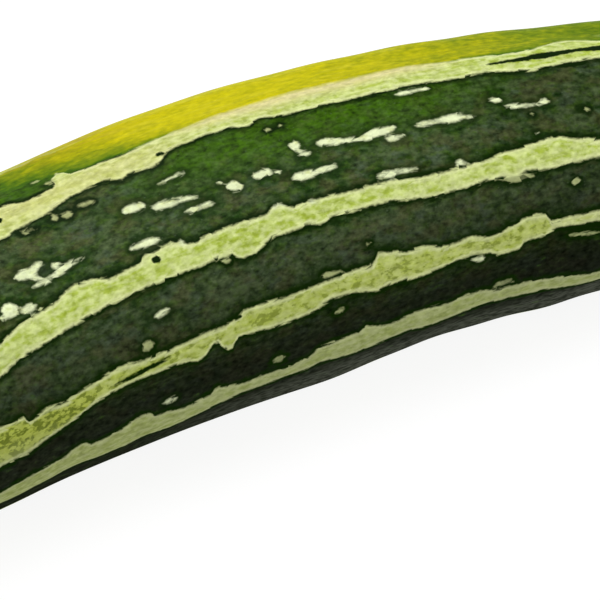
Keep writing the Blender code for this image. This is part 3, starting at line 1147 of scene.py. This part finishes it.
cream = skin.number("cream")
olive = skin.number("olive")
olive_share = (clouds * 0.7 + frost * 0.3 - 0.55 + olive * 0.09).between(0, 0.09) * (0.30 + olive * 0.70)
pale_skin = skin.mix((clouds * 0.6 + mossing * 0.4).between(0.38, 0.60), LIGHT, PALE)
pale_skin = skin.mix(streaks.between(0.4, 0.7) * STREAK_SHARE, pale_skin, RIM)
pale_skin = skin.mix(olive * YELLOW_SHARE, pale_skin, YELLOW_GREEN)
pale_skin = skin.mix(olive_share, pale_skin, OLIVE)
pale_skin = skin.mix((1 - edge.between(*RIM_DEPTHS)) * (1 - cream) * RIM_SHARE, pale_skin, RIM)
pale_skin = skin.mix(cream * CREAM_SHARE, pale_skin, CREAM)
# painted shade: the pale skin is greyed low on the flank
pale_skin = skin.mix(shade * SHADED_PALE_SHARE, pale_skin, SHADED_PALE)
pale_skin = skin.mix(milky * mossing.between(0.20, 0.52), pale_skin, MILKY)
# painted light and shade: the pale skin is darkened low on the flank and underneath
pale_skin = skin.brightened(pale_skin, (0.50 + mottling * 0.6 + grain * 0.4) * skin.number("pale_tone"))
print("the pale skin is mixed, with", len(skin.nodes), "nodes so far")

# %% [markdown]
# ## Borders and slits
#
# A thin, almost black line runs beside many edges, where the darkest cells are packed. The slits are the
# same dark skin showing through a stripe. Here the layers meet: the ground with its borders and its blot,
# the pale skin over it, and the slits cut into that.

# %% Borders and slits
NEARLY_BLACK = (0.005, 0.017, 0.001)
BORDER_DEPTHS = (-1.9, -0.5)
BLOT_DEPTHS = (-0.3, 0.5)
BLOT_SHARE = 0.8
SLIT_DEPTHS = (-0.25, 0.25)

border = edge.between(*BORDER_DEPTHS) * (0.75 + (mossing - 0.35) * 1.5) * (1 - milky * 0.4)
ground = skin.mix(border * (1 - skin.number("ground_spot").between(0, 0.4)), ground, NEARLY_BLACK)
ground = skin.mix(skin.number("blot_depth").between(*BLOT_DEPTHS) * BLOT_SHARE, ground, NEARLY_BLACK)
skin_color = skin.mix(pale_share, ground, pale_skin)
slit = (skin.number("slit_depth") + (fray - 0.5) * FRAY).between(*SLIT_DEPTHS)
skin_color = skin.mix(slit, skin_color, NEARLY_BLACK)
print("the skin has", len(skin.nodes), "nodes")

# %% [markdown]
# ## The blossom scar
#
# The flower leaves a dry, corky patch at the far end. It is tan with fine rays, darker in the middle and
# ringed by a pale rim. It is found by the distance inwards from that rim, in millimetres, which is stored
# on the mesh with the wave that draws the rays.

# %% The blossom scar
CORK = (0.36, 0.27, 0.14)
CORK_DARK = (0.11, 0.075, 0.035)
CORK_RIM = (0.50, 0.52, 0.20)
CORK_SIZE = (0.0016, 0.0012)
SCAR_RAYS = 22
SCAR_FRAY = 0.9
RIM_SPAN = (-1.4, -0.2)  # millimetres inwards from the rim, as in the next three
GROOVE_START = (0.2, 0.8)
GROOVE_END = (1.2, 2.2)
HEART_SPAN = (6.2, 7.4)

store(fruit.data, "scar_depth", scar_depth * MM)
store(fruit.data, "scar_rays", 0.5 + 0.5 * np.cos(SCAR_RAYS * turn))
scar = skin.number("scar_depth") + (fray - 0.5) * SCAR_FRAY
scar_share = scar.between(0, 0.25)
cork_noise = skin.noise(place, *CORK_SIZE, 4)
cork = skin.mix(cork_noise.between(0.35, 0.65), CORK, CORK_DARK)
cork = skin.mix(skin.number("scar_rays").between(0.5, 1) * 0.45, cork, CORK_DARK)
groove = scar.between(*GROOVE_START) * (1 - scar.between(*GROOVE_END))
cork = skin.mix((groove + scar.between(*HEART_SPAN)) * 0.7, cork, CORK_DARK)
skin_color = skin.mix(scar.between(*RIM_SPAN) * 0.7, skin_color, CORK_RIM)
skin_color = skin.mix(scar_share, skin_color, cork)
print("the scar is coloured")

# %% [markdown]
# ## Wax and texture
#
# The skin is waxy, not glossy: highlights are wide and soft. The shine comes from a thin coat and not from
# the skin itself, because the coat's weight may differ from place to place: the shaded flank that the
# camera looks at has none, and stays as dark as it is in the photograph. The bump is a few hundredths of a
# millimetre, enough to break up the shine.

# %% Wax and texture
BUMP_STRENGTH = 0.6
BUMP_DISTANCE = 0.00012
WAX_WEIGHT = 0.6
WAX_ROUGHNESS = 0.32

roughness = 0.5 + mottling * 0.2 + scar_share * 0.2
height = mottling * 0.6 + blotches * 0.5 + pale_share * 0.3 - slit * 0.8 + scar_share * cork_noise * 4
normal = skin.bump(height, BUMP_STRENGTH, BUMP_DISTANCE)
wax = skin.number("wax") * (1 - scar_share) * WAX_WEIGHT
coat = {"Specular IOR Level": 0.0, "Coat Weight": wax, "Coat Roughness": WAX_ROUGHNESS}
skin_material = skin.finish(skin_color, roughness, normal, **coat)
fruit.data.materials.append(skin_material)
print("the fruit is dressed")

# %% [markdown]
# ## The stem
#
# The stem is a stub which flares where it joins the fruit and was cut across with a knife. It is turned
# like the fruit, with rings over its cut face too, so that the face can carry its own marks.

# %% The stem
STEM_LENGTH = 0.028
STEM_BASE_RADIUS = 0.0125
STEM_SHAFT_RADIUS = 0.0085
STEM_CUT_RADIUS = 0.0095
STEM_FLARE_LENGTH = 0.009
STEM_RINGS = 70
CUT_RINGS = 14
STEM_SIDES = 180


def stem_radius(height):
    """The stem's radius, from its flared base to its cut end."""
    flare = hill(height, 0, STEM_FLARE_LENGTH)
    end_swell = (height / STEM_LENGTH) ** 4
    return (
        STEM_SHAFT_RADIUS
        + (STEM_BASE_RADIUS - STEM_SHAFT_RADIUS) * flare
        + (STEM_CUT_RADIUS - STEM_SHAFT_RADIUS) * end_swell
    )


stem_heights = [STEM_LENGTH * k / STEM_RINGS for k in range(STEM_RINGS + 1)]
stem_outline = [(0.0, 0.0)] + [(stem_radius(height), height) for height in stem_heights]
stem_outline += [(STEM_CUT_RADIUS * (1 - k / CUT_RINGS), STEM_LENGTH) for k in range(1, CUT_RINGS + 1)]
stem = turned("ridged_stem", stem_outline, STEM_SIDES)
print("the stem has", count_triangles(stem.data), "triangles")

# %% [markdown]
# ## The stem's ridges and its place
#
# Five ridges run down a zucchini's stem, with fine fibres over them. The turned section is pulled out into
# both. The stem rises and leans a little as it leaves the fruit, its cut is slanted, and it goes on at the
# start of the bent axis, a hair's breadth off the fruit's flat stem face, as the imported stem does.

# %% The stem's ridges and its place
STEM_RIDGES = 5
STEM_RIDGE_SHARE = 0.13
FIBRES = 45
FIBRE_SHARE = 0.011
STEM_RISE = 0.003
STEM_SWAY = 0.002
CUT_SLANT = 0.12
STEM_GAP = 0.0003

stem_straight = points_of(stem.data)
stem_turn = np.arctan2(stem_straight[:, 1], stem_straight[:, 0])
stem_height = stem_straight[:, 2]
grown = (stem_height / STEM_LENGTH) ** 2
fibre = FIBRE_SHARE * np.cos(FIBRES * stem_turn)
ridge = 1 + STEM_RIDGE_SHARE * np.cos(STEM_RIDGES * stem_turn) + fibre
side = stem_straight[:, 0] * ridge + STEM_SWAY * grown
up = stem_straight[:, 1] * ridge + STEM_RISE * grown
out = STEM_GAP + stem_height * (1 + CUT_SLANT * stem_straight[:, 1] / STEM_LENGTH)
face_x, face_y, face_heading = axis_at(0.0)
face_z = NECK_RADIUS + NECK_RIDGE_HEIGHT * LOWEST_RIDGE_SHARE - PRESSED_DEPTH
stem_laid = np.column_stack([
    face_x + out * math.cos(face_heading) + side * math.sin(face_heading),
    face_y - out * math.sin(face_heading) + side * math.cos(face_heading),
    face_z + up,
]) + shift
move_points(stem.data, stem_laid)
print("the stem reaches", round(float(out.max()) * MM, 1), "mm from the fruit")

# %% [markdown]
# ## What the stem carries
#
# The stem's marks follow its shape, so four numbers are stored on it: how far a point lies from the cut,
# how far out it is on the cut face, whether it is on a ridge, and how near it is to the collar where the
# stem widens onto the fruit. It gets a coordinate for patterns and a map for textures as the fruit does.

# %% What the stem carries
COLLAR_LENGTH = 5
CUT_MARGIN = 0.001  # millimetres

cut_depth = (STEM_LENGTH - stem_height) * MM
stem_reach = np.hypot(stem_straight[:, 0], stem_straight[:, 1])
store_places(stem.data, np.column_stack([stem_height, side, up]))
store(stem.data, "cut_depth", cut_depth)
store(stem.data, "cut_reach", stem_reach / STEM_CUT_RADIUS)
store(stem.data, "ridge", np.cos(STEM_RIDGES * stem_turn))
store(stem.data, "collar", hill(stem_height * MM, 0, COLLAR_LENGTH))
on_cut = cut_depth < CUT_MARGIN
unwrap(stem.data, stem_height + (STEM_CUT_RADIUS - stem_reach) * on_cut, np.degrees(stem_turn))
print(int(on_cut.sum()), "points of the stem lie on its cut face")

# %% [markdown]
# ## The stem's rind and cut face
#
# The rind is dull green and fibrous, and paler where it widens onto the fruit. It is paler on its ridges
# and darker in the grooves between them, partly as its own colour and partly as painted shade. The cut face
# has dried: a spongy, tan middle, a greener ring of veins round it, and a brown edge where the knife went.

# %% The stem's rind and cut face
RIND = (0.070, 0.125, 0.028)
RIND_PALE = (0.300, 0.370, 0.130)
CUT = (0.46, 0.42, 0.25)
CUT_DRY = (0.24, 0.18, 0.09)
CUT_RING = (0.22, 0.27, 0.09)
DRY_LENGTH = 3
STRAND_SIZE = (0.012, 0.0005)
RIND_PATCH_SIZE = (0.005, 0.003)
CELL_SIZE = (0.0008, 0.0008)
RIND_BUMP_STRENGTH = 0.7
RIND_BUMP_DISTANCE = 0.0004

rind = Shading("stem_rind")
place = rind.place()
strands = rind.noise(place, *STRAND_SIZE, 3)
patches = rind.noise(place, *RIND_PATCH_SIZE, 3)
cells = rind.noise(place, *CELL_SIZE, 2)
stranded = strands.between(0.35, 0.65) * 0.45
# partly painted shade: the stem's grooves are darkened and its ridges lightened, besides their own paler
# colour
ridge_shading_and_paleness = stranded + rind.number("ridge") * 0.30 + rind.number("collar") * 0.35 + 0.15
rind_color = rind.mix(ridge_shading_and_paleness, RIND, RIND_PALE)
rind_color = rind.brightened(rind_color, 0.55 + patches * 0.9)
dryness = 1 - rind.number("cut_depth").between(0, DRY_LENGTH)
rind_color = rind.mix(dryness * strands.between(0.35, 0.6) * 0.7, rind_color, CUT_DRY)
reach = rind.number("cut_reach")
cut_color = rind.mix(cells.between(0.42, 0.62) * 0.7, CUT, CUT_DRY)
veins = reach.between(0.50, 0.66) * (1 - reach.between(0.80, 0.94))
cut_color = rind.mix(veins * (0.4 + cells * 0.6), cut_color, CUT_RING)
cut_color = rind.mix(reach.between(0.88, 0.99) * 0.8, cut_color, CUT_DRY)
cut_share = 1 - rind.number("cut_depth").between(0.1, 0.5)
rind_color = rind.mix(cut_share, rind_color, cut_color)
height = strands + patches * 0.5 + cells * cut_share
normal = rind.bump(height, RIND_BUMP_STRENGTH, RIND_BUMP_DISTANCE)
dull = {"Specular IOR Level": 0.2}
stem.data.materials.append(rind.finish(rind_color, 0.6 + patches * 0.2, normal, **dull))
print("the stem is dressed")

# %% [markdown]
# ## The floor
#
# The photograph is a product picture: pure white ground and light so soft that there is hardly a shadow.
# The floor is a round sheet of paper whose rim is swept up into a wall far behind, so that no horizon
# shows from any side, and it glows a little, like a light table. The plain view transform keeps the white
# white.

# %% The floor
FLOOR_RADIUS = 8
SWEEP_RADIUS = 1.5
SWEEP_TOP = 4
SWEEP_STEPS = 10
FLOOR_SIDES = 96
FLOOR_WHITE = (0.22, 0.22, 0.22)
FLOOR_GLOW = 0.88
FLOOR_ROUGHNESS = 0.9
PAPER_GRAIN = 0.01
PAPER_BUMP_STRENGTH = 0.1
PAPER_BUMP_DISTANCE = 0.0001

bpy.context.scene.view_settings.view_transform = "Standard"
sweep_turns = [math.pi / 2 * k / SWEEP_STEPS for k in range(SWEEP_STEPS + 1)]
sweep = [(FLOOR_RADIUS + SWEEP_RADIUS * math.sin(a), SWEEP_RADIUS * (1 - math.cos(a))) for a in sweep_turns]
floor = turned("floor", [(0.0, 0.0)] + sweep + [(FLOOR_RADIUS + SWEEP_RADIUS, SWEEP_TOP)], FLOOR_SIDES)
paper = Shading("paper")
grain = paper.noise(paper.node("ShaderNodeTexCoord", {}, {}, "Object"), PAPER_GRAIN, PAPER_GRAIN)
normal = paper.bump(grain, PAPER_BUMP_STRENGTH, PAPER_BUMP_DISTANCE)
glow = {"Specular IOR Level": 0.0, "Emission Color": (1, 1, 1, 1), "Emission Strength": FLOOR_GLOW}
floor.data.materials.append(paper.finish((*FLOOR_WHITE, 1), FLOOR_ROUGHNESS, normal, **glow))
floor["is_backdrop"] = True
print("the floor and its rim are", 2 * (FLOOR_RADIUS + SWEEP_RADIUS), "m across")

# %% [markdown]
# ## The light
#
# The panel hangs over the fruit, a little behind it, and is turned towards the middle of the floor. An
# area light shines along its own -Z, so its +Z is pointed away from what it lights. The world's even white
# fills the rest, and decides how dark the shaded flank is. The panel is hidden from the camera.

# %% The light
PANEL_SIZE = 1.6
PANEL_PLACE = (0, 0.25, 1.5)
PANEL_POWER = 15
FILL = 0.40

panel = bpy.data.objects.new("panel", bpy.data.lights.new("panel", "AREA"))
panel.data.shape = "DISK"
panel.data.size = PANEL_SIZE
panel.data.energy = PANEL_POWER
panel.location = PANEL_PLACE
panel.rotation_euler = Vector(PANEL_PLACE).to_track_quat("Z", "Y").to_euler()
panel.visible_camera = False
bpy.context.scene.collection.objects.link(panel)

world = bpy.data.worlds.new("fill")
bpy.context.scene.world = world
world.use_nodes = True
background = world.node_tree.nodes["Background"]
background.inputs["Color"].default_value = (1, 1, 1, 1)
background.inputs["Strength"].default_value = FILL
print("the panel gives", PANEL_POWER, "W and the world", FILL)

# %% [markdown]
# ## Handing the pieces over
#
# Each piece stands for its imported node and rides on the one body. The two boxes, of the frame alone and
# of everything visible, show how far the finer skin reaches past the imported solids.

# %% Handing the pieces over
for piece, node, slot in ((fruit, "fruit", "striped_skin"), (stem, "stem", "stem_rind")):
    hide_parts(node)
    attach(piece, "root")

low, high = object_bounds()
past = (*(frame_low - low), *(high - frame_high))
print("grown beyond the frame, in mm:", [round(part * MM, 2) for part in past])
